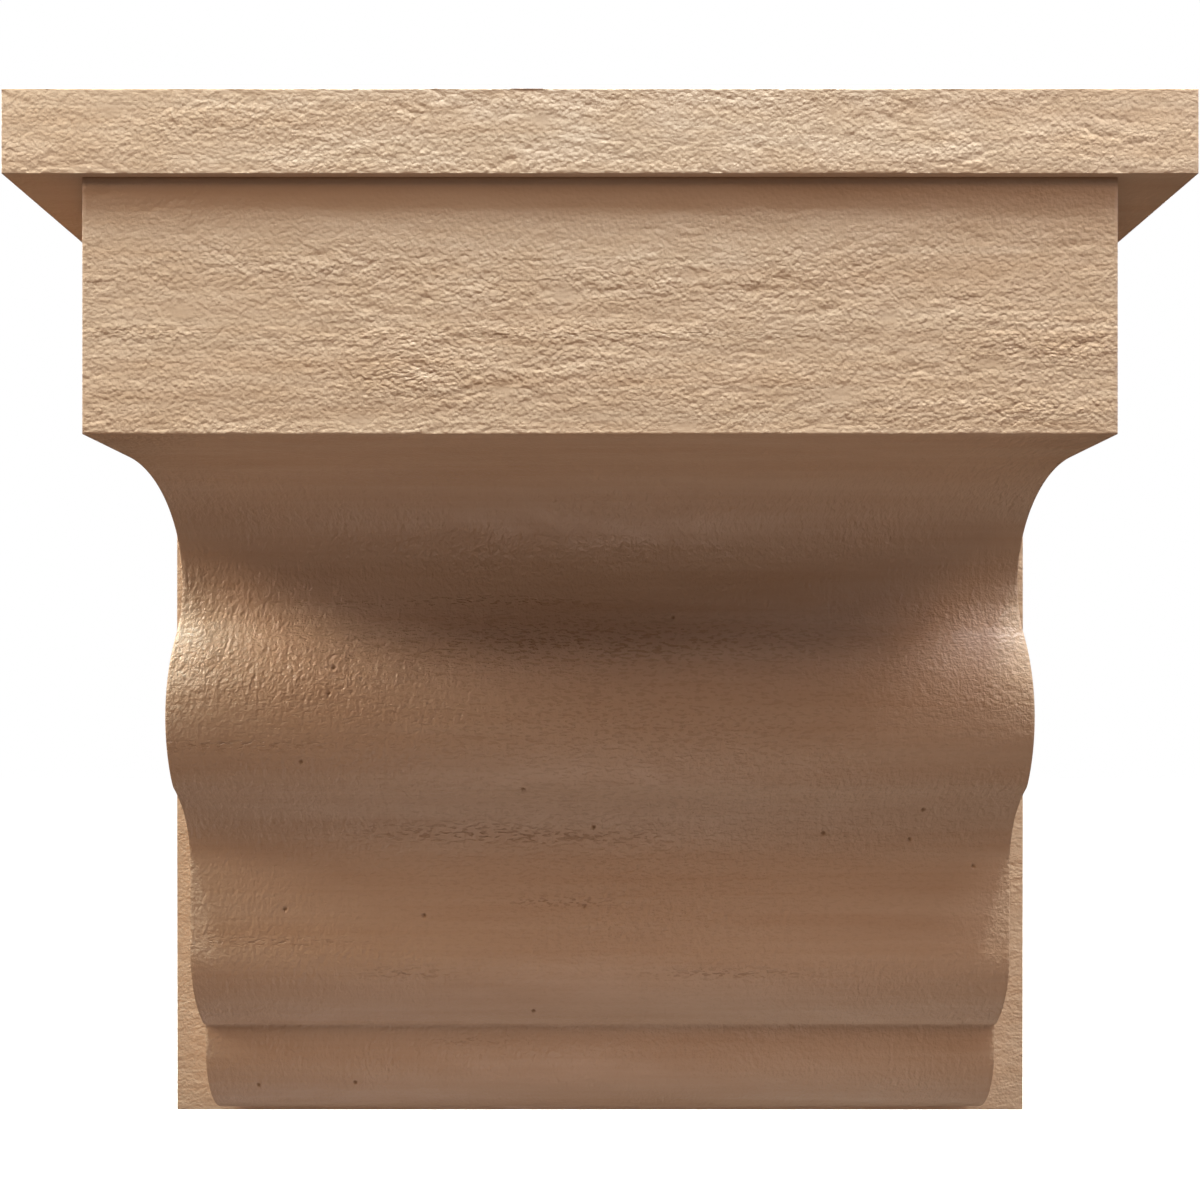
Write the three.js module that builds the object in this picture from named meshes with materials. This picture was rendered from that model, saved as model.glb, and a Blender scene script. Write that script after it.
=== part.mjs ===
// A corbel: a wide, shallow wall bracket built of three pieces of rough-sawn timber. A flat board caps
// it, a profiled body carries that board, and a second board stands behind the body against the wall.
// The body keeps one side profile along its whole width: a square block, a deep cove under it, a round
// belly, a hollow, a plain band, a rolled lip and a small rounded foot.
//
// Frame: millimetres, +Z up, the front faces -Y and X runs along the width. The origin is the centre of
// the wall face, at half of the whole height.

import * as THREE from "three";

// Boards
const TOP_BOARD_THICKNESS = 21.7;
const BACK_BOARD_THICKNESS = 21.7;
const BOARD_SIDE_OVERHANG = 19.65;
const TOP_BOARD_FRONT_OVERHANG = 1.6;
const BACK_BOARD_DROP_BELOW_FOOT = 4.1;
const JOINT_GAP = 0.3;

// Body
const BODY_WIDTH = 265.5;
const BLOCK_HEIGHT = 65.6;
const SOFFIT_DEPTH = 23.2;

// Cove under the block, and the round belly that it runs into
const COVE_RADIUS = 32.2;
const COVE_TURN = THREE.MathUtils.degToRad(120.4);
const BELLY_RADIUS = 50.6;
const BELLY_TURN = THREE.MathUtils.degToRad(54.6);
const BELLY_EDGE_RADIUS = 5.7;
const BELLY_EDGE_TURN = THREE.MathUtils.degToRad(22.4);

// Hollow under the belly, and the plain upright band below it
const HOLLOW_RADIUS = 35.5;
const BAND_HEIGHT = 28.1;

// Lip that rolls back from the band, and the foot under it
const LIP_RADIUS = 42.0;
const LIP_TURN = THREE.MathUtils.degToRad(40.4);
const FOOT_SETBACK = 1.2;
const FOOT_FACE_HEIGHT = 7.4;
const FOOT_ROUNDING_DEPTH = 18.1;
const FOOT_ROUNDING_HEIGHT = 27.9;
const FOOT_UNDERSIDE_DEPTH = 3.1;

// Facets along each curve
const FACET_TURN = THREE.MathUtils.degToRad(4);

// Finish
const PRIMER_COLOUR = 0xc9ad91;
const PRIMER_ROUGHNESS = 0.72;

const STRAIGHT_DOWN = -Math.PI / 2;

// A pen that draws the side profile: x is the depth back from the block's face and y is the height,
// measured up from the soffit under the block. It keeps its heading, so each arc runs on from the last.
class ProfilePen {
  constructor() {
    this.points = [new THREE.Vector2(0, 0)];
    this.heading = 0;
  }

  get tip() {
    return this.points[this.points.length - 1];
  }

  run(length) {
    const step = new THREE.Vector2(Math.cos(this.heading), Math.sin(this.heading)).multiplyScalar(length);
    this.points.push(this.tip.clone().add(step));
  }

  // An arc that turns left for a positive angle and right for a negative one.
  sweep(radius, turn) {
    const side = Math.sign(turn);
    const startAngle = this.heading - (side * Math.PI) / 2;
    const centreX = this.tip.x - radius * Math.cos(startAngle);
    const centreY = this.tip.y - radius * Math.sin(startAngle);
    const arc = new THREE.EllipseCurve(centreX, centreY, radius, radius, startAngle, startAngle + turn, turn < 0);
    this.points.push(...arc.getPoints(facetsFor(turn)).slice(1));
    this.heading += turn;
  }
}

function facetsFor(turn) {
  return Math.max(2, Math.ceil(Math.abs(turn) / FACET_TURN));
}

// The body's face below its block, drawn from the soffit's front edge to the back of the foot.
function drawMoulding() {
  const pen = new ProfilePen();
  pen.run(SOFFIT_DEPTH);
  pen.sweep(COVE_RADIUS, -COVE_TURN);
  pen.sweep(BELLY_RADIUS, BELLY_TURN);
  pen.sweep(BELLY_EDGE_RADIUS, BELLY_EDGE_TURN);
  pen.sweep(HOLLOW_RADIUS, STRAIGHT_DOWN - pen.heading);
  pen.run(BAND_HEIGHT);
  pen.sweep(LIP_RADIUS, LIP_TURN);
  pen.heading = 0;
  pen.run(FOOT_SETBACK);
  pen.heading = STRAIGHT_DOWN;
  pen.run(FOOT_FACE_HEIGHT);
  const rounding = new THREE.EllipseCurve(
    pen.tip.x + FOOT_ROUNDING_DEPTH,
    pen.tip.y,
    FOOT_ROUNDING_DEPTH,
    FOOT_ROUNDING_HEIGHT,
    Math.PI,
    1.5 * Math.PI,
  );
  pen.points.push(...rounding.getPoints(facetsFor(Math.PI / 2)).slice(1));
  pen.heading = 0;
  pen.run(FOOT_UNDERSIDE_DEPTH);
  return pen.points;
}

// Overall sizes and levels that follow from the pieces
const moulding = drawMoulding();
const footBack = moulding[moulding.length - 1];
const bodyDepth = footBack.x;
const mouldingHeight = -footBack.y;
const boardWidth = BODY_WIDTH + 2 * BOARD_SIDE_OVERHANG;
const wholeDepth = TOP_BOARD_FRONT_OVERHANG + bodyDepth + JOINT_GAP + BACK_BOARD_THICKNESS;
const backBoardHeight = BLOCK_HEIGHT + mouldingHeight + BACK_BOARD_DROP_BELOW_FOOT;
const wholeHeight = TOP_BOARD_THICKNESS + JOINT_GAP + backBoardHeight;
const topLevel = wholeHeight / 2;
const boardUnderside = topLevel - TOP_BOARD_THICKNESS;
const bodyTop = boardUnderside - JOINT_GAP;
const soffitLevel = bodyTop - BLOCK_HEIGHT;
const bodyBackY = -BACK_BOARD_THICKNESS - JOINT_GAP;
const blockFaceY = bodyBackY - bodyDepth;

function primerFinish() {
  return new THREE.MeshStandardMaterial({ color: PRIMER_COLOUR, roughness: PRIMER_ROUGHNESS, metalness: 0 });
}

// A flat board as wide as both boards are, given by its back face and its top.
function board(name, depth, height, backY, topZ) {
  const mesh = new THREE.Mesh(new THREE.BoxGeometry(boardWidth, depth, height), primerFinish());
  mesh.name = name;
  mesh.position.set(0, backY - depth / 2, topZ - height / 2);
  return mesh;
}

// The whole depth of the corbel, from the wall to just past the face of the block.
function topBoard() {
  return board("top_board", wholeDepth, TOP_BOARD_THICKNESS, 0, topLevel);
}

// From the underside of the top board down to just below the foot.
function backBoard() {
  return board("back_board", BACK_BOARD_THICKNESS, backBoardHeight, 0, bodyTop);
}

// The block and the moulding under it, one profile cut along the whole width.
function profiledBody() {
  const section = new THREE.Shape([
    new THREE.Vector2(bodyDepth, BLOCK_HEIGHT),
    new THREE.Vector2(0, BLOCK_HEIGHT),
    ...moulding,
  ]);
  const geometry = new THREE.ExtrudeGeometry(section, { depth: BODY_WIDTH, bevelEnabled: false });
  const depthAlongY = new THREE.Vector3(0, 1, 0);
  const heightAlongZ = new THREE.Vector3(0, 0, 1);
  const lengthAlongX = new THREE.Vector3(1, 0, 0);
  geometry.applyMatrix4(new THREE.Matrix4().makeBasis(depthAlongY, heightAlongZ, lengthAlongX));
  const mesh = new THREE.Mesh(geometry, primerFinish());
  mesh.name = "profiled_body";
  mesh.position.set(-BODY_WIDTH / 2, blockFaceY, soffitLevel);
  return mesh;
}

const corbel = new THREE.Group();
corbel.add(topBoard(), backBoard(), profiledBody());

export default corbel;
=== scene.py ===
"""A wall corbel in rough-sawn cedar under one thin coat of tan primer.

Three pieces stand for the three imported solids: the cap board, the back board and the profiled body.
Each is modelled in its solid's place and gets its sawn relief as mesh. Two finishes dress them: one for
the band-sawn faces and one for the moulding. Sizes are in millimetres and become metres where a mesh
or a pattern is made. Where the studio's floor, net and lights are is given in metres.
"""

import logging
import math
from dataclasses import dataclass, field
from enum import Enum
from typing import Any

import bmesh
import bpy
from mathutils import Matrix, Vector, noise


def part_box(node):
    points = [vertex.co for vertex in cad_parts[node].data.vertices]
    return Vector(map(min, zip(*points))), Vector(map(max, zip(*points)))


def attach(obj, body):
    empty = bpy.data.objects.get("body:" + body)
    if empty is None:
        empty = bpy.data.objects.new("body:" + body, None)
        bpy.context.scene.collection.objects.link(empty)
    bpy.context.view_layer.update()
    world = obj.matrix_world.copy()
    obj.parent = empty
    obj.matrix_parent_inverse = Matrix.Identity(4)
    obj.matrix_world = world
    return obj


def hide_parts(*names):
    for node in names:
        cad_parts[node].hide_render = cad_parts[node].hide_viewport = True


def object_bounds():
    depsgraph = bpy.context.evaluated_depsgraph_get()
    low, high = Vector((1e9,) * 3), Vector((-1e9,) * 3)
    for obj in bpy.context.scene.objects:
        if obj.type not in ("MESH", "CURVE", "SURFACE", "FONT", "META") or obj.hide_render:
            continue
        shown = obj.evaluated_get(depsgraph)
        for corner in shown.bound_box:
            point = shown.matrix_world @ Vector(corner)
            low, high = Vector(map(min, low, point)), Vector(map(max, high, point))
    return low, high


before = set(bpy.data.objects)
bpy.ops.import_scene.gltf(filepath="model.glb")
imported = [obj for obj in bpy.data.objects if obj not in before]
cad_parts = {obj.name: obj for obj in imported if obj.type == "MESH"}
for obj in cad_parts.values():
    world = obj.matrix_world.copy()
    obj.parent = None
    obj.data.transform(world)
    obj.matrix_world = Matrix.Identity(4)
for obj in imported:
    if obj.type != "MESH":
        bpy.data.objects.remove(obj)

CAD_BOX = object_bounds()

MM = 0.001
EVERYWHERE = math.inf
PHOTO_SIDE = 1200
BODY = "root"
# How much painted shade each vertex's colour gets, from deep relief and pits.
PAINTED_SHADE_LAYER = "painted_shade"
COARSE_LAYER = "coarse"
CHECKED_LAYER = "checked"

log = logging.getLogger("corbel")


class Axis(Enum):
    """A direction of the row frame, by the place of its number in a vector."""

    WIDTH = 0
    DEPTH = 1
    HEIGHT = 2


class Cut(Enum):
    """How a face was made. The number is its place in the piece's material slots."""

    BAND_SAWN = 0
    MOULDED = 1


def to_linear(hex_colour: str) -> tuple[float, float, float, float]:
    """Turns an sRGB hex colour into linear light.

    Args:
        hex_colour: Six hex digits after a hash sign.

    Returns:
        Linear red, green and blue, with an alpha of 1.
    """
    channels = [int(hex_colour[i : i + 2], 16) / 255 for i in (1, 3, 5)]
    linear = [c / 12.92 if c <= 0.04045 else ((c + 0.055) / 1.055) ** 2.4 for c in channels]
    return (*linear, 1.0)


def add_node(
    tree: bpy.types.NodeTree,
    kind: str,
    inputs: dict[Any, Any] | None = None,
    **settings: Any,
) -> Any:
    """Adds one shader node with its settings, values and links.

    Args:
        tree: The node tree that gets the node.
        kind: The node's type name.
        inputs: For each input, by name or number, a value or the output socket that feeds it.
        **settings: Properties of the node itself.

    Returns:
        The new node.
    """
    node = tree.nodes.new(kind)
    for name, value in settings.items():
        setattr(node, name, value)
    for socket, value in (inputs or {}).items():
        if isinstance(value, bpy.types.NodeSocket):
            tree.links.new(value, node.inputs[socket])
        else:
            node.inputs[socket].default_value = value
    return node


def smooth_step(low: float, high: float, value: float) -> float:
    """Runs smoothly from 0 at low to 1 at high."""
    share = min(1.0, max(0.0, (value - low) / (high - low)))
    return share * share * (3 - 2 * share)


@dataclass(frozen=True)
class Grain:
    """A noise pattern by the size of its grains in millimetres: along the width and across it."""

    along: float
    across: float
    detail: float = 0.0
    roughness: float = 0.5
    distortion: float = 0.0

    def add(self, tree: bpy.types.NodeTree, place: Any) -> Any:
        """Adds the pattern to a material.

        Args:
            tree: The material's node tree.
            place: The coordinates' output socket, in metres.

        Returns:
            The noise node.
        """
        return add_node(
            tree,
            "ShaderNodeTexNoise",
            {
                "Vector": self._size(tree, place),
                "Scale": 1.0,
                "Detail": self.detail,
                "Roughness": self.roughness,
                "Distortion": self.distortion,
            },
        )

    def add_cells(self, tree: bpy.types.NodeTree, place: Any) -> Any:
        """Adds rounded cells of the same size instead, as their distance to the nearest centre.

        Args:
            tree: The material's node tree.
            place: The coordinates' output socket, in metres.

        Returns:
            The cell node.
        """
        return add_node(
            tree,
            "ShaderNodeTexVoronoi",
            {"Vector": self._size(tree, place), "Scale": 1.0, "Randomness": 1.0},
            feature="F1",
        )

    def _size(self, tree: bpy.types.NodeTree, place: Any) -> Any:
        """Scales the coordinates so that one grain measures one unit each way."""
        scale = (1 / (self.along * MM), 1 / (self.across * MM), 1 / (self.across * MM))
        return add_node(tree, "ShaderNodeMapping", {"Vector": place, "Scale": scale}).outputs[0]


@dataclass(frozen=True)
class PrimedCedar:
    """Cedar under one thin coat of satin tan primer.

    The primer evens the wood's colour out to one tan, a little deeper in bands where the grain soaks
    it up. Its colour is painted darker in hollows, pits and open checks, as painted shade. It leaves
    a dull sheen, so that light shows the cut of the face more than the wood's own figure.
    """

    name: str = "primed_cedar"
    tan: str = "#cbaf94"
    tan_deep: str = "#c4a487"
    # Painted shade: the brown that deep relief, pits and open checks are darkened towards.
    painted_shade: str = "#93714f"
    painted_shade_share: float = 0.6
    roughness_low: float = 0.36
    roughness_high: float = 0.50
    ior: float = 1.54
    bands: Grain = Grain(75, 8, detail=2.0)
    band_share: float = 0.55
    streaks: Grain = Grain(120, 2.2, detail=2.0)
    streak_share: float = 0.45
    figure_low: float = 0.35
    figure_high: float = 0.65
    patches: Grain = Grain(13, 5)
    patch_low: float = 0.3
    patch_high: float = 0.7
    strokes: Grain = Grain(5.5, 0.8, detail=2.0, distortion=0.3)
    stroke_low: float = 0.51
    stroke_high: float = 0.63
    stroke_depth: float = 0.16

    def material(self) -> bpy.types.Material:
        """Builds the material.

        Returns:
            A node material that reads Object coordinates and the mesh's own relief layers.
        """
        made = bpy.data.materials.new(self.name)
        made.use_nodes = True
        tree = made.node_tree
        tree.nodes.clear()
        place = add_node(tree, "ShaderNodeTexCoord").outputs["Object"]
        strokes = self._strokes(tree, place)
        height = self._sum(tree, [(self._relief(tree, place), 1.0), (strokes, -self.stroke_depth)])
        bump = add_node(tree, "ShaderNodeBump", {"Height": height, "Distance": MM, "Strength": 1.0})
        surface = add_node(
            tree,
            "ShaderNodeBsdfPrincipled",
            {
                "Base Color": self._colour(tree, place, strokes),
                "Roughness": self._roughness(tree, place),
                "IOR": self.ior,
                "Normal": bump.outputs["Normal"],
            },
        )
        add_node(tree, "ShaderNodeOutputMaterial", {"Surface": surface.outputs["BSDF"]})
        return made

    def _strokes(self, tree: bpy.types.NodeTree, place: Any) -> Any:
        """Makes short open checks along the grain, where the mesh is marked as checked.

        Args:
            tree: The material's node tree.
            place: The Object coordinates.

        Returns:
            The share's output socket: 1 in a stroke.
        """
        checked = add_node(tree, "ShaderNodeAttribute", attribute_name=CHECKED_LAYER)
        drawn = self.strokes.add(tree, place)
        found = add_node(
            tree,
            "ShaderNodeMapRange",
            {0: drawn.outputs[0], "From Min": self.stroke_low, "From Max": self.stroke_high},
            interpolation_type="SMOOTHSTEP",
        )
        share = add_node(
            tree,
            "ShaderNodeMath",
            {0: checked.outputs["Fac"], 1: found.outputs[0]},
            operation="MULTIPLY",
        )
        return share.outputs[0]

    def _colour(self, tree: bpy.types.NodeTree, place: Any, strokes: Any) -> Any:
        """Makes the primer's colour.

        Args:
            tree: The material's node tree.
            place: The Object coordinates.
            strokes: The share of open checks, which the colour also darkens as painted shade.

        Returns:
            The colour's output socket.
        """
        bands = self.bands.add(tree, place)
        streaks = self.streaks.add(tree, place)
        figure = self._sum(
            tree,
            [(bands.outputs[0], self.band_share), (streaks.outputs[0], self.streak_share)],
        )
        share = add_node(
            tree,
            "ShaderNodeMapRange",
            {0: figure, "From Min": self.figure_low, "From Max": self.figure_high},
        )
        banded = add_node(
            tree,
            "ShaderNodeMix",
            {0: share.outputs[0], 6: to_linear(self.tan), 7: to_linear(self.tan_deep)},
            data_type="RGBA",
        )
        # Painted shade: the colour darkens towards a shade brown where the relief is deep, in pits and in
        # open checks.
        depth = add_node(tree, "ShaderNodeAttribute", attribute_name=PAINTED_SHADE_LAYER)
        shade_share = self._sum(
            tree,
            [(depth.outputs["Fac"], self.painted_shade_share), (strokes, self.painted_shade_share)],
        )
        whole = add_node(
            tree,
            "ShaderNodeMix",
            {0: shade_share, 6: banded.outputs[2], 7: to_linear(self.painted_shade)},
            data_type="RGBA",
        )
        return whole.outputs[2]

    def _roughness(self, tree: bpy.types.NodeTree, place: Any) -> Any:
        """Makes the sheen uneven, as it is where the coat is thinner.

        Args:
            tree: The material's node tree.
            place: The Object coordinates.

        Returns:
            The roughness output socket.
        """
        patches = self.patches.add(tree, place)
        mapped = add_node(
            tree,
            "ShaderNodeMapRange",
            {
                0: patches.outputs[0],
                "From Min": self.patch_low,
                "From Max": self.patch_high,
                "To Min": self.roughness_low,
                "To Max": self.roughness_high,
            },
        )
        return mapped.outputs[0]

    def _relief(self, tree: bpy.types.NodeTree, place: Any) -> Any:
        """Makes the relief that is finer than the mesh, as a height in millimetres.

        Args:
            tree: The material's node tree.
            place: The Object coordinates.

        Returns:
            The height's output socket.
        """
        raise NotImplementedError

    def _sum(self, tree: bpy.types.NodeTree, parts: list[tuple[Any, Any]]) -> Any:
        """Adds weighted values together.

        Args:
            tree: The material's node tree.
            parts: Each value with its weight, as sockets or numbers.

        Returns:
            The sum's output socket.
        """
        total: Any = 0.0
        for value, weight in parts:
            terms = {0: value, 1: weight, 2: total}
            total = add_node(tree, "ShaderNodeMath", terms, operation="MULTIPLY_ADD").outputs[0]
        return total


@dataclass(frozen=True)
class SawnCedar(PrimedCedar):
    """A band-sawn face: small rounded grains and torn lumps, in coarser and finer bands.

    Light from above catches the top of each lump and leaves a short dark stroke under it. Where the
    grain is checked, the strokes are also painted darker in the colour, as painted shade.
    """

    name: str = "primed_band_sawn_cedar"
    strokes: Grain = Grain(2.4, 0.9, detail=1.0)
    stroke_depth: float = 0.05
    grains: Grain = Grain(1.25, 1.05)
    grain_height: float = 0.11
    lumps: Grain = Grain(1.5, 1.5, detail=3.0, roughness=0.62)
    lump_height: float = 0.23
    tears: Grain = Grain(2.6, 2.0, detail=1.0)
    tear_height: float = 0.17
    tears_from: float = 0.5

    def _relief(self, tree: bpy.types.NodeTree, place: Any) -> Any:
        """Makes grains and lumps all over, and larger torn ones where the cut is coarse."""
        coarse = add_node(tree, "ShaderNodeAttribute", attribute_name=COARSE_LAYER).outputs["Fac"]
        grains = self.grains.add_cells(tree, place)
        lumps = self.lumps.add(tree, place)
        tears = self.tears.add(tree, place)
        fine = self._sum(
            tree,
            [(grains.outputs[0], -self.grain_height), (lumps.outputs[0], self.lump_height)],
        )
        torn = self._sum(tree, [(tears.outputs[0], self.tear_height)])
        torn_share = add_node(
            tree,
            "ShaderNodeMapRange",
            {0: coarse, "From Min": self.tears_from, "From Max": 1.0},
        )
        return self._sum(tree, [(fine, coarse), (torn, torn_share.outputs[0])])


@dataclass(frozen=True)
class MouldedCedar(PrimedCedar):
    """A moulded face: broken ridges that the cutter leaves across the grain, and soft lumps.

    The face looks smooth from straight ahead, and side light picks the ridges out.
    """

    name: str = "primed_moulded_cedar"
    strokes: Grain = Grain(2.4, 0.8, detail=1.0)
    stroke_depth: float = 0.3
    ridges: Grain = Grain(1.7, 4.2, detail=2.0, roughness=0.55, distortion=0.3)
    ridge_height: float = 0.52
    lumps: Grain = Grain(1.5, 1.5, detail=2.0, roughness=0.6)
    lump_height: float = 0.62

    def _relief(self, tree: bpy.types.NodeTree, place: Any) -> Any:
        """Makes ridges and lumps, stronger where the cut is coarse."""
        coarse = add_node(tree, "ShaderNodeAttribute", attribute_name=COARSE_LAYER).outputs["Fac"]
        ridges = self.ridges.add(tree, place)
        lumps = self.lumps.add(tree, place)
        fine = self._sum(
            tree,
            [(ridges.outputs[0], self.ridge_height), (lumps.outputs[0], self.lump_height)],
        )
        return self._sum(tree, [(fine, coarse)])


@dataclass(frozen=True)
class PaperSweep:
    """Matt white studio paper: an even, very pale surface without sheen."""

    name: str = "studio_paper"
    white: str = "#fbfaf8"
    glow: float = 1.1
    roughness: float = 0.95
    fibre: Grain = Grain(1.2, 1.2, detail=2.0)
    fibre_depth: float = 0.05

    def material(self) -> bpy.types.Material:
        """Builds the material.

        Returns:
            A node material with a faint fibre pattern.
        """
        made = bpy.data.materials.new(self.name)
        made.use_nodes = True
        tree = made.node_tree
        tree.nodes.clear()
        place = add_node(tree, "ShaderNodeTexCoord").outputs["Object"]
        fibres = self.fibre.add(tree, place)
        bump = add_node(
            tree,
            "ShaderNodeBump",
            {"Height": fibres.outputs[0], "Distance": self.fibre_depth * MM},
        )
        surface = add_node(
            tree,
            "ShaderNodeBsdfPrincipled",
            {
                "Base Color": to_linear(self.white),
                "Roughness": self.roughness,
                "Emission Color": to_linear(self.white),
                "Emission Strength": self.glow,
                "Normal": bump.outputs["Normal"],
            },
        )
        add_node(tree, "ShaderNodeOutputMaterial", {"Surface": surface.outputs["BSDF"]})
        return made


@dataclass(frozen=True)
class Patch:
    """A round or long patch of a front face, by its centre, its half length and its half height."""

    across: float
    up: float
    half_length: float
    half_height: float
    strength: float = 1.0

    def nearness(self, place: Vector) -> float:
        """Falls from the patch's strength at its centre to 0 well outside it."""
        along = (place.x - self.across) / self.half_length
        over = (place.z - self.up) / self.half_height
        return self.strength * math.exp(-(along * along + over * over))


@dataclass(frozen=True)
class Swell:
    """Smooth noise in the mesh, by its swells' size in millimetres along the width and across it."""

    along: float
    across: float
    shift: float

    def read(self, place: Vector, seed: float) -> float:
        """Reads the noise at a point in millimetres, as about -1 to 1."""
        return noise.noise(
            Vector(
                (
                    place.x / self.along + seed + self.shift,
                    place.y / self.across + self.shift,
                    place.z / self.across - self.shift,
                )
            )
        )


@dataclass
class Relief:
    """The cut face's relief from about 2 mm up, as a depth into the wood in millimetres."""

    seed: float = 0.0
    mean_depth: float = 0.04
    wave_depth: float = 0.04
    lump_depth: float = 0.07
    tear_depth: float = 0.12
    ridge_depth: float = 0.05
    coarse: float = 0.35
    least_coarse: float = 0.5
    strength: float = 1.0
    bands: Swell = Swell(95.0, 13.0, 3.7)
    band_share: float = 0.55
    tufts: Swell = Swell(24.0, 6.0, 7.9)
    tuft_share: float = 0.35
    sawn_wave: Swell = Swell(60.0, 11.0, 1.9)
    sawn_lumps: Swell = Swell(2.6, 1.9, 0.0)
    broad_lumps: Swell = Swell(5.5, 3.2, 11.3)
    broad_share: float = 0.5
    tear_lines: Swell = Swell(9.0, 3.4, 5.1)
    tear_width: float = 0.15
    tear_breaks: Swell = Swell(13.0, 6.0, 8.9)
    break_low: float = -0.1
    break_high: float = 0.35
    moulded_wave: Swell = Swell(70.0, 16.0, 1.3)
    moulded_lumps: Swell = Swell(3.2, 3.4, 6.4)
    ridges: Swell = Swell(3.0, 13.0, 2.2)
    rough_patches: tuple[Patch, ...] = ()
    filled_patches: tuple[Patch, ...] = ()
    checked_patches: tuple[Patch, ...] = ()
    knot: Patch | None = None
    knot_turn: float = 1.2

    def _bent(self, place: Vector) -> Vector:
        """Turns the grain round the knot.

        Args:
            place: A point on the face.

        Returns:
            The point at which the patterns are read.
        """
        if self.knot is None:
            return place
        turn = self.knot_turn * self.knot.nearness(place)
        across = place.x - self.knot.across
        up = place.z - self.knot.up
        return Vector(
            (
                self.knot.across + across * math.cos(turn) - up * math.sin(turn),
                place.y,
                self.knot.up + across * math.sin(turn) + up * math.cos(turn),
            )
        )

    def coarseness(self, place: Vector) -> float:
        """Tells how coarse the cut is, from 0 where primer fills it to 1 where it is torn.

        Args:
            place: A point on the face, in millimetres.

        Returns:
            The share.
        """
        banded = self.coarse + self.band_share * self.bands.read(place, self.seed)
        coarse = banded + self.tuft_share * self.tufts.read(place, self.seed)
        coarse += sum(patch.nearness(place) for patch in self.rough_patches)
        filled = min(1.0, sum(patch.nearness(place) for patch in self.filled_patches))
        even = self.least_coarse + (1 - self.least_coarse) * min(1.0, max(0.0, coarse))
        return self.strength * even * (1 - filled)

    def checkedness(self, place: Vector) -> float:
        """Tells how far the grain is checked at a place, from 0 to 1."""
        return min(1.0, sum(patch.nearness(place) for patch in self.checked_patches))

    def band_sawn(self, place: Vector, coarse: float) -> float:
        """Gives the depth of a band-sawn face.

        Args:
            place: A point on the face, in millimetres.
            coarse: How coarse the cut is there.

        Returns:
            The depth into the wood, in millimetres.
        """
        read = self._bent(place)
        broad = self.broad_share * self.broad_lumps.read(read, self.seed)
        lumps = self.sawn_lumps.read(read, self.seed) + broad
        line = abs(self.tear_lines.read(read, self.seed))
        unbroken = smooth_step(self.break_low, self.break_high, self.tear_breaks.read(read, self.seed))
        tear = (1 - smooth_step(0.0, self.tear_width, line)) * unbroken
        depth = self.mean_depth + self.wave_depth * self.sawn_wave.read(read, self.seed)
        return depth + coarse * (self.tear_depth * tear - self.lump_depth * lumps)

    def moulded(self, place: Vector, coarse: float) -> float:
        """Gives the depth of the moulding.

        Args:
            place: A point on the moulding, in millimetres.
            coarse: How coarse the cut is there.

        Returns:
            The depth into the wood, in millimetres.
        """
        ridges = self.ridges.read(place, self.seed)
        lumps = self.moulded_lumps.read(place, self.seed)
        wave = self.moulded_wave.read(place, self.seed)
        return self.mean_depth + self.wave_depth * wave + coarse * self.ridge_depth * (ridges + lumps)


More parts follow.
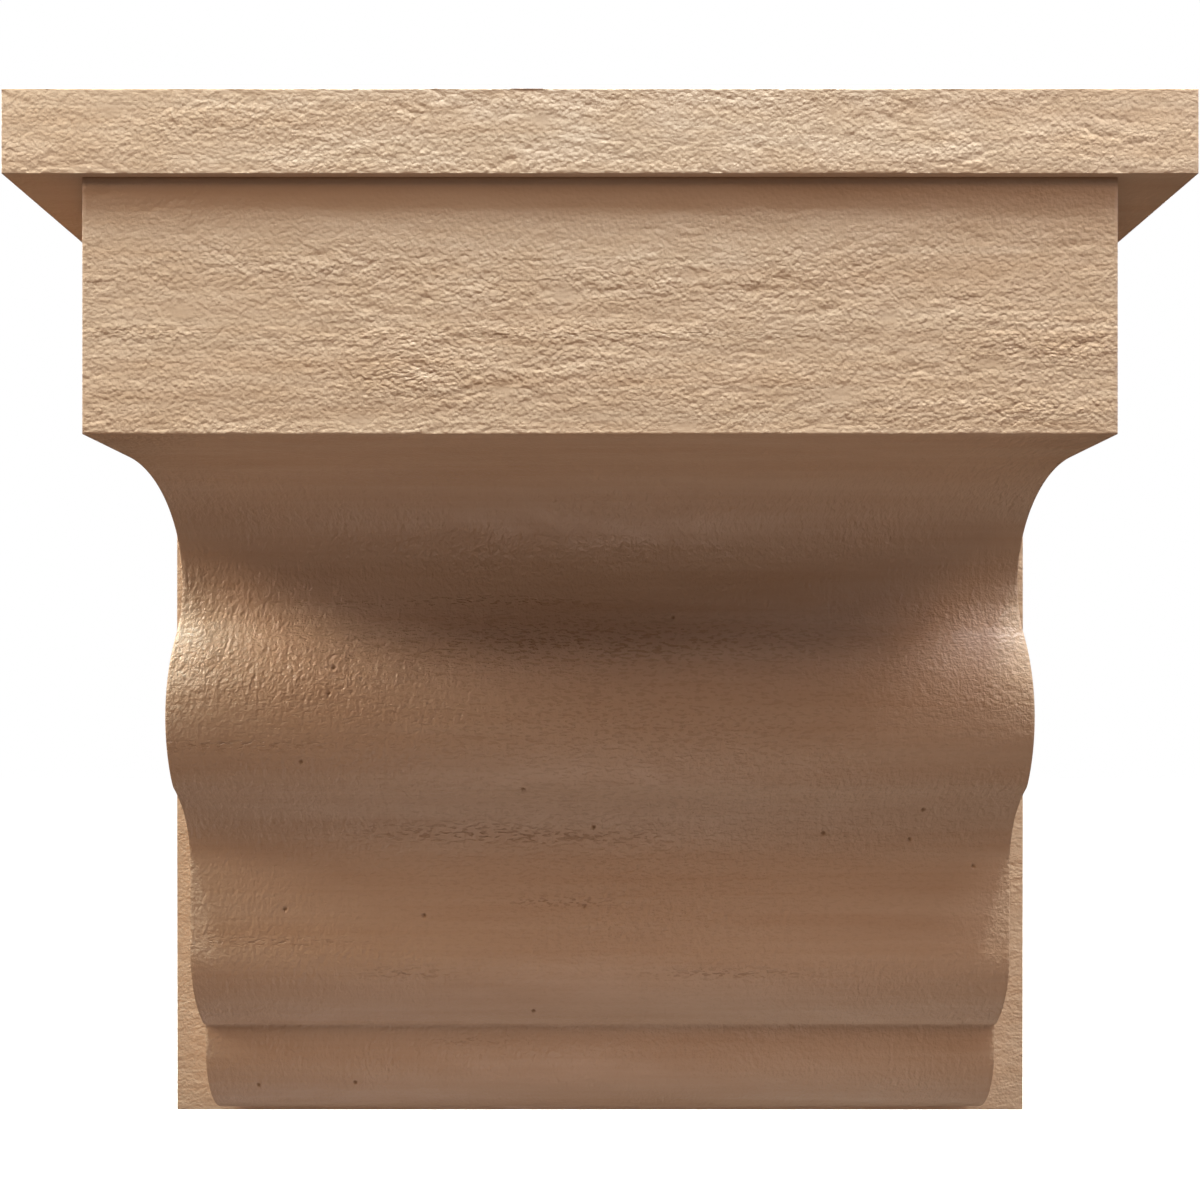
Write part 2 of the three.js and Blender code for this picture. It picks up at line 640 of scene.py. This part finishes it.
@dataclass
class Piece:
    """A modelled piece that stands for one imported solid."""

    node: str
    relief: Relief
    finishes: tuple[PrimedCedar, ...]
    arris: float = 0.15
    arris_share: float = 0.25
    arris_segments: int = 2
    flat_normal: float = 0.95
    straight_share: float = 0.999
    # How deep relief and a pit must be, in millimetres, for the colour's painted shade.
    shaded_from: float = 0.16
    shaded_full: float = 0.42
    dent_shaded_full: float = 0.5

    def build(self) -> bpy.types.Object:
        """Models the piece, and returns the finished object, with its place in its mesh."""
        raise NotImplementedError

    def _cut_of(self, face: bmesh.types.BMFace) -> Cut:
        """Tells how a face was made."""
        return Cut.BAND_SAWN

    def _let_in(self, place: Vector, normal: Vector) -> float:
        """Gives the share of the relief that shows: little on an arris, so that it stays straight."""
        return 1.0 if max(abs(part) for part in normal) > self.flat_normal else self.arris_share

    def _dent(self, place: Vector) -> float:
        """Gives how much deeper a single flaw makes a place, in millimetres."""
        return 0.0

    def _ease(self, mesh: bmesh.types.BMesh, arrises: list[bmesh.types.BMEdge]) -> None:
        """Rounds arrises, as a light sanding does.

        Args:
            mesh: The mesh that they belong to.
            arrises: Their edges.
        """
        bmesh.ops.bevel(
            mesh,
            geom=arrises,
            offset=self.arris * MM,
            offset_type="OFFSET",
            segments=self.arris_segments,
            profile=0.5,
            affect="EDGES",
            material=-1,
        )

    def _divide(
        self,
        mesh: bmesh.types.BMesh,
        axis: Axis,
        spacing: float,
        low: float = -EVERYWHERE,
        high: float = EVERYWHERE,
    ) -> None:
        """Cuts the edges that run along an axis into even lengths.

        Args:
            mesh: The mesh to cut.
            axis: The edges' direction.
            spacing: The length wanted, in millimetres.
            low: Only edges whose middle is above this place on the axis, in millimetres, are cut.
            high: Only edges whose middle is below this place are cut.
        """
        chosen = []
        longest = 0.0
        for edge in mesh.edges:
            run = edge.verts[1].co - edge.verts[0].co
            middle = (edge.verts[0].co[axis.value] + edge.verts[1].co[axis.value]) / (2 * MM)
            is_long = run.length > 2 * self.arris * MM
            is_along = abs(run[axis.value]) > self.straight_share * run.length
            if is_long and is_along and low < middle < high:
                chosen.append(edge)
                longest = max(longest, run.length / MM)
        cuts = max(0, round(longest / spacing) - 1)
        bmesh.ops.subdivide_edges(mesh, edges=chosen, cuts=cuts, use_grid_fill=True)

    def _sort_faces(self, mesh: bmesh.types.BMesh) -> None:
        """Gives each face the finish of its cut."""
        mesh.normal_update()
        for face in mesh.faces:
            face.smooth = True
            face.material_index = self._cut_of(face).value

    def _carve(self, mesh: bmesh.types.BMesh) -> None:
        """Moves every vertex into the wood by its relief, and notes how deep and how coarse it is.

        Args:
            mesh: The finely divided mesh, with its faces sorted.
        """
        painted_shade_layer = mesh.verts.layers.float.new(PAINTED_SHADE_LAYER)
        coarse_layer = mesh.verts.layers.float.new(COARSE_LAYER)
        checked_layer = mesh.verts.layers.float.new(CHECKED_LAYER)
        for vert in mesh.verts:
            place = vert.co / MM
            coarse = self.relief.coarseness(place)
            moulded = sum(face.material_index for face in vert.link_faces) / len(vert.link_faces)
            depth = 0.0
            if moulded < 1:
                depth += (1 - moulded) * self.relief.band_sawn(place, coarse)
            if moulded > 0:
                depth += moulded * self.relief.moulded(place, coarse)
            dent = self._dent(place)
            vert[coarse_layer] = coarse
            vert[checked_layer] = self.relief.checkedness(place)
            # Painted shade: deep relief and pits are marked to darken the colour.
            shaded = smooth_step(self.shaded_from, self.shaded_full, depth)
            vert[painted_shade_layer] = min(1.0, shaded + smooth_step(0.0, self.dent_shaded_full, dent))
            vert.co -= vert.normal * ((max(0.0, depth) + dent) * self._let_in(place, vert.normal) * MM)

    def _finish(self, mesh: bmesh.types.BMesh) -> bpy.types.Object:
        """Turns the mesh into an object that rides on the corbel and stands for its solid.

        Args:
            mesh: The carved mesh, which is freed.

        Returns:
            The new object.
        """
        data = bpy.data.meshes.new(f"{self.node}_primed")
        mesh.to_mesh(data)
        mesh.free()
        made = bpy.data.objects.new(f"{self.node}_primed", data)
        bpy.context.scene.collection.objects.link(made)
        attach(made, BODY)
        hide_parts(self.node)
        return made

    def dress(self, made: bpy.types.Object) -> None:
        """Gives the piece its finishes and reports it.

        Args:
            made: The object that build returned.
        """
        for finish in self.finishes:
            made.data.materials.append(bpy.data.materials.get(finish.name) or finish.material())
        made.data.calc_loop_triangles()
        log.info("%s: %d triangles", made.name, len(made.data.loop_triangles))


@dataclass
class SawnBoard(Piece):
    """A flat board with slightly eased arrises and a sawn relief on every face."""

    width_spacing: float = 0.6
    depth_spacing: float = 2.4
    height_spacing: float = 0.6
    hidden_half_width: float = 0.0
    hidden_spacing: float = 6.0

    def build(self) -> bpy.types.Object:
        """Models the board from a cube as large as its solid, and returns the object."""
        low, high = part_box(self.node)
        mesh = bmesh.new()
        bmesh.ops.create_cube(mesh, size=1.0)
        bmesh.ops.scale(mesh, vec=high - low, verts=mesh.verts)
        bmesh.ops.translate(mesh, vec=(high + low) / 2, verts=mesh.verts)
        self._ease(mesh, mesh.edges[:])
        self._divide_width(mesh)
        self._divide(mesh, Axis.HEIGHT, self.height_spacing)
        self._divide(mesh, Axis.DEPTH, self.depth_spacing)
        self._sort_faces(mesh)
        self._carve(mesh)
        return self._finish(mesh)

    def _divide_width(self, mesh: bmesh.types.BMesh) -> None:
        """Divides the width finely, but coarsely where a piece in front hides the board.

        Args:
            mesh: The board's mesh.
        """
        if not self.hidden_half_width:
            self._divide(mesh, Axis.WIDTH, self.width_spacing)
            return
        for side in (-self.hidden_half_width, self.hidden_half_width):
            everything = mesh.verts[:] + mesh.edges[:] + mesh.faces[:]
            bmesh.ops.bisect_plane(mesh, geom=everything, plane_co=(side * MM, 0, 0), plane_no=(1, 0, 0))
        self._divide(mesh, Axis.WIDTH, self.width_spacing, high=-self.hidden_half_width)
        self._divide(mesh, Axis.WIDTH, self.width_spacing, low=self.hidden_half_width)
        self._divide(
            mesh, Axis.WIDTH, self.hidden_spacing, low=-self.hidden_half_width, high=self.hidden_half_width
        )


@dataclass
class CapBoard(SawnBoard):
    """The board on top. Its underside is nearly flat, because the body is glued to it."""

    underside_share: float = 0.3
    downward_normal: float = 0.9

    def _let_in(self, place: Vector, normal: Vector) -> float:
        """Gives the share of the relief that a place shows."""
        faces_down = normal.z < -self.downward_normal
        return self.underside_share if faces_down else super()._let_in(place, normal)


class SectionPen:
    """Draws the body's side section with edges, at a heading that each arc carries on from the last.

    The section lies in the plane of one end. A heading of 0 runs back towards the wall, and a positive
    turn is upward from there.
    """

    def __init__(self, mesh: bmesh.types.BMesh, start: Vector) -> None:
        """Puts the pen down.

        Args:
            mesh: The mesh that gets the vertices and edges.
            start: The first point, in metres.
        """
        self.mesh = mesh
        self.tip = mesh.verts.new(start)
        self.heading = 0.0

    def run(self, length: float, spacing: float) -> None:
        """Draws a straight stretch.

        Args:
            length: Its length, in millimetres.
            spacing: How long its edges are, in millimetres.
        """
        steps = max(1, round(length / spacing))
        step = Vector((0, math.cos(self.heading), math.sin(self.heading))) * (length * MM / steps)
        for _ in range(steps):
            grown = bmesh.ops.extrude_vert_indiv(self.mesh, verts=[self.tip])
            self.tip = grown["verts"][0]
            bmesh.ops.translate(self.mesh, vec=step, verts=[self.tip])

    def sweep(self, radius: float, turn: float, spacing: float) -> list[bmesh.types.BMVert]:
        """Draws an arc that starts along the heading.

        Args:
            radius: Its radius, in millimetres.
            turn: How far it turns, in radians, positive to the left.
            spacing: How long its edges are, in millimetres.

        Returns:
            The arc's new vertices.
        """
        side = math.copysign(1.0, turn)
        to_centre = Vector((0, -math.sin(self.heading), math.cos(self.heading))) * (side * radius * MM)
        before = len(self.mesh.verts)
        spun = bmesh.ops.spin(
            self.mesh,
            geom=[self.tip],
            cent=self.tip.co + to_centre,
            axis=(1, 0, 0),
            dvec=(0, 0, 0),
            angle=turn,
            steps=max(2, round(radius * abs(turn) / spacing)),
            use_duplicate=False,
        )
        self.tip = next(item for item in spun["geom_last"] if isinstance(item, bmesh.types.BMVert))
        self.heading += turn
        self.mesh.verts.ensure_lookup_table()
        return self.mesh.verts[before:]


@dataclass
class ProfiledBody(Piece):
    """The block and the moulding under it: one section along the whole width."""

    block_height: float = 65.6
    soffit_depth: float = 23.2
    cove_radius: float = 32.2
    cove_turn: float = math.radians(120.4)
    belly_radius: float = 50.6
    belly_turn: float = math.radians(54.6)
    belly_edge_radius: float = 5.7
    belly_edge_turn: float = math.radians(22.4)
    hollow_radius: float = 35.5
    band_height: float = 28.1
    lip_radius: float = 42.0
    lip_turn: float = math.radians(40.4)
    foot_setback: float = 1.2
    foot_face_height: float = 7.4
    foot_rounding_depth: float = 18.1
    foot_rounding_height: float = 27.9
    foot_underside_depth: float = 3.1
    block_row: float = 0.65
    moulding_row: float = 1.45
    hidden_row: float = 12.0
    column: float = 1.0
    end_grid: float = 3.0
    pits: tuple[tuple[float, float], ...] = ()
    pit_radius: float = 0.55
    pit_depth: float = 0.8
    pit_cuts: int = 3
    pit_reach: float = 2.0
    turned_normal: float = 0.1
    front_normal: float = 0.3
    end_normal: float = 0.5
    sharp_turn: float = math.radians(50)
    touch: float = 0.01
    joint_top: float = field(default=0.0, init=False)
    joint_back: float = field(default=0.0, init=False)
    soffit: float = field(default=0.0, init=False)

    def build(self) -> bpy.types.Object:
        """Models the body by drawing its section at one end and extruding it to the other.

        The solids keep a hair's gap at their joints, so the body is drawn up to the boards that it
        is glued to.

        Returns:
            The finished object.
        """
        low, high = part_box(self.node)
        self.soffit = high.z / MM - self.block_height
        self.joint_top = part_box("top_board")[0].z / MM
        self.joint_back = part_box("back_board")[0].y / MM
        mesh = bmesh.new()
        self._draw_section(mesh, Vector((low.x, low.y, self.soffit * MM)))
        section = bmesh.ops.contextual_create(mesh, geom=mesh.edges[:])["faces"]
        grown = bmesh.ops.extrude_face_region(mesh, geom=section)
        far_end = [item for item in grown["geom"] if isinstance(item, bmesh.types.BMVert)]
        bmesh.ops.translate(mesh, vec=(high.x - low.x, 0, 0), verts=far_end)
        bmesh.ops.recalc_face_normals(mesh, faces=mesh.faces[:])
        self._ease_arrises(mesh)
        self._divide(mesh, Axis.WIDTH, self.column)
        self._grid_ends(mesh, low, high)
        self._refine_pits(mesh)
        self._sort_faces(mesh)
        self._carve(mesh)
        return self._finish(mesh)

    def _draw_section(self, mesh: bmesh.types.BMesh, start: Vector) -> None:
        """Draws the closed outline, from the soffit's front edge round to the same point.

        Args:
            mesh: The mesh that gets the outline.
            start: The soffit's front edge, in metres.
        """
        pen = SectionPen(mesh, start)
        row = self.moulding_row
        pen.run(self.soffit_depth, row)
        pen.sweep(self.cove_radius, -self.cove_turn, row)
        pen.sweep(self.belly_radius, self.belly_turn, row)
        pen.sweep(self.belly_edge_radius, self.belly_edge_turn, 0.5 * row)
        pen.sweep(self.hollow_radius, -math.pi / 2 - pen.heading, row)
        pen.run(self.band_height, row)
        pen.sweep(self.lip_radius, self.lip_turn, row)
        pen.heading = 0.0
        pen.run(self.foot_setback, row)
        pen.heading = -math.pi / 2
        pen.run(self.foot_face_height, row)
        foot_level = pen.tip.co.z
        rounding = pen.sweep(self.foot_rounding_depth, math.pi / 2, row)
        stretch = self.foot_rounding_height / self.foot_rounding_depth
        for vert in rounding:
            vert.co.z = foot_level + (vert.co.z - foot_level) * stretch
        pen.run(self.joint_back - pen.tip.co.y / MM, row)
        pen.heading = math.pi / 2
        pen.run(self.joint_top - pen.tip.co.z / MM, self.hidden_row)
        pen.heading = math.pi
        pen.run((pen.tip.co.y - start.y) / MM, self.hidden_row)
        pen.heading = -math.pi / 2
        pen.run(self.joint_top - self.soffit, self.block_row)
        bmesh.ops.remove_doubles(mesh, verts=mesh.verts[:], dist=self.touch * MM)

    def _ease_arrises(self, mesh: bmesh.types.BMesh) -> None:
        """Rounds the open arrises, but not those in the glued joints.

        Args:
            mesh: The extruded body.
        """
        arrises = []
        for edge in mesh.edges:
            in_top = all(vert.co.z / MM > self.joint_top - self.touch for vert in edge.verts)
            in_back = all(vert.co.y / MM > self.joint_back - self.touch for vert in edge.verts)
            is_sharp = edge.is_convex and edge.calc_face_angle(0.0) > self.sharp_turn
            if is_sharp and not in_top and not in_back:
                arrises.append(edge)
        self._ease(mesh, arrises)

    def _grid_ends(self, mesh: bmesh.types.BMesh, low: Vector, high: Vector) -> None:
        """Cuts both flat ends into a grid, so that they can carry relief.

        Args:
            mesh: The body.
            low: The solid's lowest corner, in metres.
            high: The solid's highest corner, in metres.
        """
        ends = [face for face in mesh.faces if abs(face.normal.x) > self.flat_normal]
        for axis in (Axis.DEPTH, Axis.HEIGHT):
            place = low[axis.value] + self.end_grid * MM
            while place < high[axis.value]:
                edges = {edge for face in ends for edge in face.edges}
                verts = {vert for face in ends for vert in face.verts}
                geometry = [*verts, *edges, *ends]
                normal = Vector((0, 0, 0))
                normal[axis.value] = 1
                cut = bmesh.ops.bisect_plane(mesh, geom=geometry, plane_co=normal * place, plane_no=normal)
                ends = [item for item in cut["geom"] if isinstance(item, bmesh.types.BMFace)]
                place += self.end_grid * MM

    def _refine_pits(self, mesh: bmesh.types.BMesh) -> None:
        """Divides the few faces round each pit more finely, so that the mesh can hold it.

        Args:
            mesh: The body.
        """
        reach = 2 * self.moulding_row
        mesh.normal_update()
        fronts = [
            (face, face.calc_center_median() / MM)
            for face in mesh.faces
            if face.normal.y < -self.turned_normal
        ]
        edges = set()
        for across, up in self.pits:
            for face, centre in fronts:
                if abs(centre.x - across) < reach and abs(centre.z - up) < reach:
                    edges.update(face.edges)
        bmesh.ops.subdivide_edges(mesh, edges=list(edges), cuts=self.pit_cuts, use_grid_fill=True)

    def _cut_of(self, face: bmesh.types.BMFace) -> Cut:
        """Tells how a face was made: the moulding is cut along the width, and all else is sawn."""
        below_soffit = face.calc_center_median().z / MM < self.soffit + self.arris
        is_end = abs(face.normal.x) >= self.end_normal
        return Cut.MOULDED if below_soffit and not is_end else Cut.BAND_SAWN

    def _let_in(self, place: Vector, normal: Vector) -> float:
        """Gives the share of the relief that shows: little on an arris, none in a glued joint."""
        if place.z > self.joint_top - self.touch or place.y > self.joint_back - self.touch:
            return 0.0
        on_end_arris = self.turned_normal < abs(normal.x) < self.flat_normal
        near_soffit = abs(place.z - self.soffit) < 2 * self.arris
        on_block_arris = near_soffit and normal.y < -self.front_normal
        return self.arris_share if on_end_arris or on_block_arris else 1.0

    def _dent(self, place: Vector) -> float:
        """Gives the depth of a pit, if one is near."""
        deepest = 0.0
        for across, up in self.pits:
            if abs(place.x - across) < self.pit_reach and abs(place.z - up) < self.pit_reach:
                gap = math.hypot(place.x - across, place.z - up) / self.pit_radius
                deepest = max(deepest, self.pit_depth * math.exp(-gap * gap))
        return deepest


@dataclass(frozen=True)
class SoftLight:
    """A round soft box that looks at the corbel. Its distance and radius are in metres."""

    name: str
    azimuth: float
    elevation: float
    power: float
    tint: str
    distance: float = 1.6
    radius: float = 0.30

    def place(self, target: Vector) -> bpy.types.Object:
        """Hangs the light.

        Args:
            target: The point that the light looks at.

        Returns:
            The light object.
        """
        across = math.radians(self.azimuth)
        up = math.radians(self.elevation)
        outward = Vector((math.sin(across) * math.cos(up), -math.cos(across) * math.cos(up), math.sin(up)))
        data = bpy.data.lights.new(self.name, "AREA")
        data.shape = "DISK"
        data.size = 2 * self.radius
        data.energy = self.power
        data.color = to_linear(self.tint)[:3]
        made = bpy.data.objects.new(self.name, data)
        made.location = target + outward * self.distance
        made.rotation_euler = outward.to_track_quat("Z", "Y").to_euler()
        made.visible_camera = False
        bpy.context.scene.collection.objects.link(made)
        return made


RIG = (
    SoftLight("key_left", -75, 80, 131, "#e5faff"),
    SoftLight("key_right", 75, 80, 148, "#f1ffff"),
    SoftLight("mid_left", -75, 58, 6.9, "#d6fffb"),
    SoftLight("mid_right", 75, 58, 12.7, "#faf8ff"),
    SoftLight("front_left", -55, 42, 5.3, "#ffd1a2"),
    SoftLight("front_right", 55, 42, 4.9, "#ffd1a9"),
    SoftLight("side_left", -86, 34, 23, "#fff0d9"),
    SoftLight("low_left", -75, 20, 4.9, "#ffe7e6"),
    SoftLight("low_right", 75, 20, 4.8, "#f3f0ff"),
    SoftLight("under_front", 0, -50, 1.43, "#ffe3d3", distance=0.75, radius=0.25),
    SoftLight("under_left", -90, -70, 0.42, "#ffece4", distance=0.75, radius=0.20),
    SoftLight("under_right", 90, -70, 0.43, "#fff4e7", distance=0.75, radius=0.20),
    SoftLight("rear_right", 145, 25, 12, "#ffffff", radius=0.40),
    SoftLight("rear_left", -145, 25, 12, "#ffffff", radius=0.40),
)


@dataclass
class Studio:
    """The pale floor, the white surround, the soft lights and the net over the corbel's top.

    Its own sizes are in metres.
    """

    paper: PaperSweep = field(default_factory=PaperSweep)
    rig: tuple[SoftLight, ...] = RIG
    floor_drop: float = 0.60
    floor_side: float = 14.0
    sheet_cells: int = 8
    net_height: float = 0.003
    net_inset: float = 0.0004
    net_share: str = "#222222"
    surround: str = "#ffffff"
    target: tuple[float, float, float] = (0.0, -0.06, 0.0)

    def build(self) -> None:
        """Lays the floor, stretches the net, hangs the lights and sets the surround."""
        self._lay_floor()
        self._stretch_net()
        for light in self.rig:
            light.place(Vector(self.target))
        self._set_surround()
        bpy.context.scene.view_settings.view_transform = "Standard"
        log.info("studio: %d lights", len(self.rig))

    def _sheet(
        self,
        name: str,
        size: Vector,
        centre: Vector,
        material: bpy.types.Material,
    ) -> bpy.types.Object:
        """Makes a level sheet that isn't part of the corbel.

        Args:
            name: The object's name.
            size: Its width and depth, in metres.
            centre: Where its middle is, in metres.
            material: What it is made of.

        Returns:
            The sheet, which throws no light back onto the corbel.
        """
        mesh = bmesh.new()
        bmesh.ops.create_grid(mesh, x_segments=self.sheet_cells, y_segments=self.sheet_cells, size=0.5)
        bmesh.ops.scale(mesh, vec=(size.x, size.y, 1), verts=mesh.verts)
        bmesh.ops.translate(mesh, vec=centre, verts=mesh.verts)
        data = bpy.data.meshes.new(name)
        mesh.to_mesh(data)
        mesh.free()
        data.materials.append(material)
        made = bpy.data.objects.new(name, data)
        bpy.context.scene.collection.objects.link(made)
        made.visible_diffuse = False
        made.visible_glossy = False
        return made

    def _lay_floor(self) -> None:
        """Lays a wide paper floor under the corbel, which hangs clear of it."""
        level = CAD_BOX[0].z - self.floor_drop
        size = Vector((self.floor_side, self.floor_side, 0))
        floor = self._sheet("floor", size, Vector((0, 0, level)), self.paper.material())
        floor.visible_shadow = False

    def _stretch_net(self) -> None:
        """Stretches a thin net just over the cap board, as a photographer does.

        It takes light off the level top, which the steep lamps would wash out, and leaves the light
        on the front alone.
        """
        low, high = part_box("top_board")
        made = bpy.data.materials.new("net_over_the_top")
        made.use_nodes = True
        tree = made.node_tree
        tree.nodes.clear()
        thin = add_node(tree, "ShaderNodeBsdfTransparent", {"Color": to_linear(self.net_share)})
        add_node(tree, "ShaderNodeOutputMaterial", {"Surface": thin.outputs[0]})
        centre = (low + high) / 2
        centre.z = high.z + self.net_height
        inset = Vector((self.net_inset, self.net_inset, 0))
        net = self._sheet("net", high - low - 2 * inset, centre, made)
        net.visible_camera = False

    def _set_surround(self) -> None:
        """Makes a surround that the camera sees as white, and that lights nothing."""
        world = bpy.data.worlds.new("surround")
        world.use_nodes = True
        tree = world.node_tree
        tree.nodes.clear()
        ray = add_node(tree, "ShaderNodeLightPath")
        seen = add_node(
            tree,
            "ShaderNodeBackground",
            {"Color": to_linear(self.surround), "Strength": ray.outputs["Is Camera Ray"]},
        )
        add_node(tree, "ShaderNodeOutputWorld", {"Surface": seen.outputs[0]})
        bpy.context.scene.world = world


@dataclass
class PhotoCamera:
    """A level camera in front of the corbel, with the frame moved up as a cropped picture's is."""

    focal_pixels: float = 900.0
    cap_width_pixels: float = 1197.8
    frame_rise_pixels: float = 87.0
    sensor: float = 36.0
    nearest: float = 10.0

    def build(self) -> bpy.types.Object:
        """Places the camera so that the cap board's front is as wide as in the photograph.

        Returns:
            The camera object.
        """
        low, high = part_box("top_board")
        stand_off = self.focal_pixels * (high.x - low.x) / self.cap_width_pixels
        data = bpy.data.cameras.new("camera")
        data.sensor_width = self.sensor
        data.lens = self.sensor * self.focal_pixels / PHOTO_SIDE
        data.shift_y = self.frame_rise_pixels / PHOTO_SIDE
        data.clip_start = self.nearest * MM
        made = bpy.data.objects.new("camera", data)
        made.location = (0, low.y - stand_off, 0)
        made.rotation_euler = (math.pi / 2, 0, 0)
        bpy.context.scene.collection.objects.link(made)
        bpy.context.scene.camera = made
        return made


# Each patch and pit is placed in millimetres: across from the middle, and up from the origin.
CAP_FACE = Relief(
    seed=17.3,
    coarse=0.25,
    strength=0.8,
    filled_patches=(
        Patch(-14.8, 144.3, 2.8, 1.4, 0.9),
        Patch(59.3, 146.1, 2.8, 1.5, 0.9),
        Patch(-124.0, 147.0, 3.0, 1.5, 0.8),
    ),
    checked_patches=(Patch(70.0, 139.0, 60.0, 2.0, 0.3),),
)
BACK_FACE = Relief(seed=41.9, coarse=0.5)
BODY_FACE = Relief(
    seed=5.2,
    coarse=0.25,
    rough_patches=(
        Patch(-5.0, 90.5, 60.0, 3.0, 0.6),
        Patch(112.0, 87.0, 18.0, 7.0, 0.6),
        Patch(-118.0, 91.0, 18.0, 2.5, 0.5),
        Patch(-50.0, 80.0, 15.0, 8.0, 0.7),
        Patch(108.0, 72.0, 16.0, 4.0, 0.4),
    ),
    filled_patches=(
        Patch(-107.6, 96.1, 2.6, 1.9, 0.9),
        Patch(-71.7, 101.7, 2.0, 1.6, 0.8),
        Patch(-62.3, 68.4, 3.2, 1.6, 0.8),
        Patch(-24.8, 76.6, 2.6, 1.7, 0.8),
        Patch(-9.4, 100.6, 2.6, 1.7, 0.9),
        Patch(21.5, 66.8, 3.6, 1.5, 0.9),
        Patch(22.9, 105.4, 2.6, 1.5, 0.8),
        Patch(61.0, 75.0, 4.0, 2.2, 0.8),
        Patch(74.0, 94.8, 2.4, 1.8, 0.9),
        Patch(99.7, 83.0, 3.2, 1.7, 0.8),
    ),
    checked_patches=(
        Patch(-5.0, 90.5, 62.0, 1.6, 0.8),
        Patch(-118.0, 91.0, 16.0, 1.4, 0.7),
        Patch(-50.0, 80.0, 12.0, 7.0, 0.7),
        Patch(112.0, 87.0, 16.0, 4.0, 0.6),
        Patch(108.0, 71.0, 14.0, 3.0, 0.5),
        Patch(-35.0, 27.5, 30.0, 1.2, 0.9),
        Patch(-5.0, 14.5, 85.0, 8.0, 0.75),
        Patch(15.0, -50.0, 115.0, 50.0, 0.3),
        Patch(0.0, -8.0, 110.0, 14.0, 0.3),
        Patch(-85.0, 26.5, 25.0, 1.0, 0.5),
        Patch(-110.0, -18.0, 26.0, 1.0, 0.8),
        Patch(-27.0, -48.0, 40.0, 1.4, 0.9),
        Patch(-46.0, -45.5, 28.0, 2.0, 0.5),
        Patch(-13.0, -69.5, 14.0, 1.2, 0.9),
        Patch(-108.0, -82.5, 26.0, 1.0, 0.7),
        Patch(43.0, -93.0, 22.0, 1.4, 0.8),
        Patch(-62.0, -93.0, 14.0, 1.8, 0.7),
        Patch(-44.0, -119.0, 14.0, 1.8, 0.5),
    ),
    knot=Patch(-50.0, 80.0, 12.0, 9.0),
)
BODY_PITS = (
    (-83, -2),
    (-82, 6),
    (-92, -23),
    (-57, -74),
    (-102, -72),
    (-24, -32),
    (23, 22),
    (103, -39),
    (100, -49),
    (121, -58),
    (72, -47),
    (-5, -71),
    (-22, -107),
    (-83, -134),
    (-116, -135),
    (-2, -45),
)


def main() -> None:
    """Builds the camera, the three pieces and the studio."""
    logging.basicConfig(level=logging.INFO, format="%(name)s: %(message)s")
    PhotoCamera().build()
    sawn = SawnCedar()
    moulded = MouldedCedar()
    pieces: list[Piece] = [
        CapBoard(node="top_board", relief=CAP_FACE, finishes=(sawn,)),
        SawnBoard(
            node="back_board",
            relief=BACK_FACE,
            finishes=(sawn,),
            width_spacing=0.8,
            height_spacing=1.0,
            hidden_half_width=126.0,
        ),
        ProfiledBody(node="profiled_body", relief=BODY_FACE, finishes=(sawn, moulded), pits=BODY_PITS),
    ]
    for piece in pieces:
        piece.dress(piece.build())
    Studio().build()


if __name__ == "__main__":
    main()
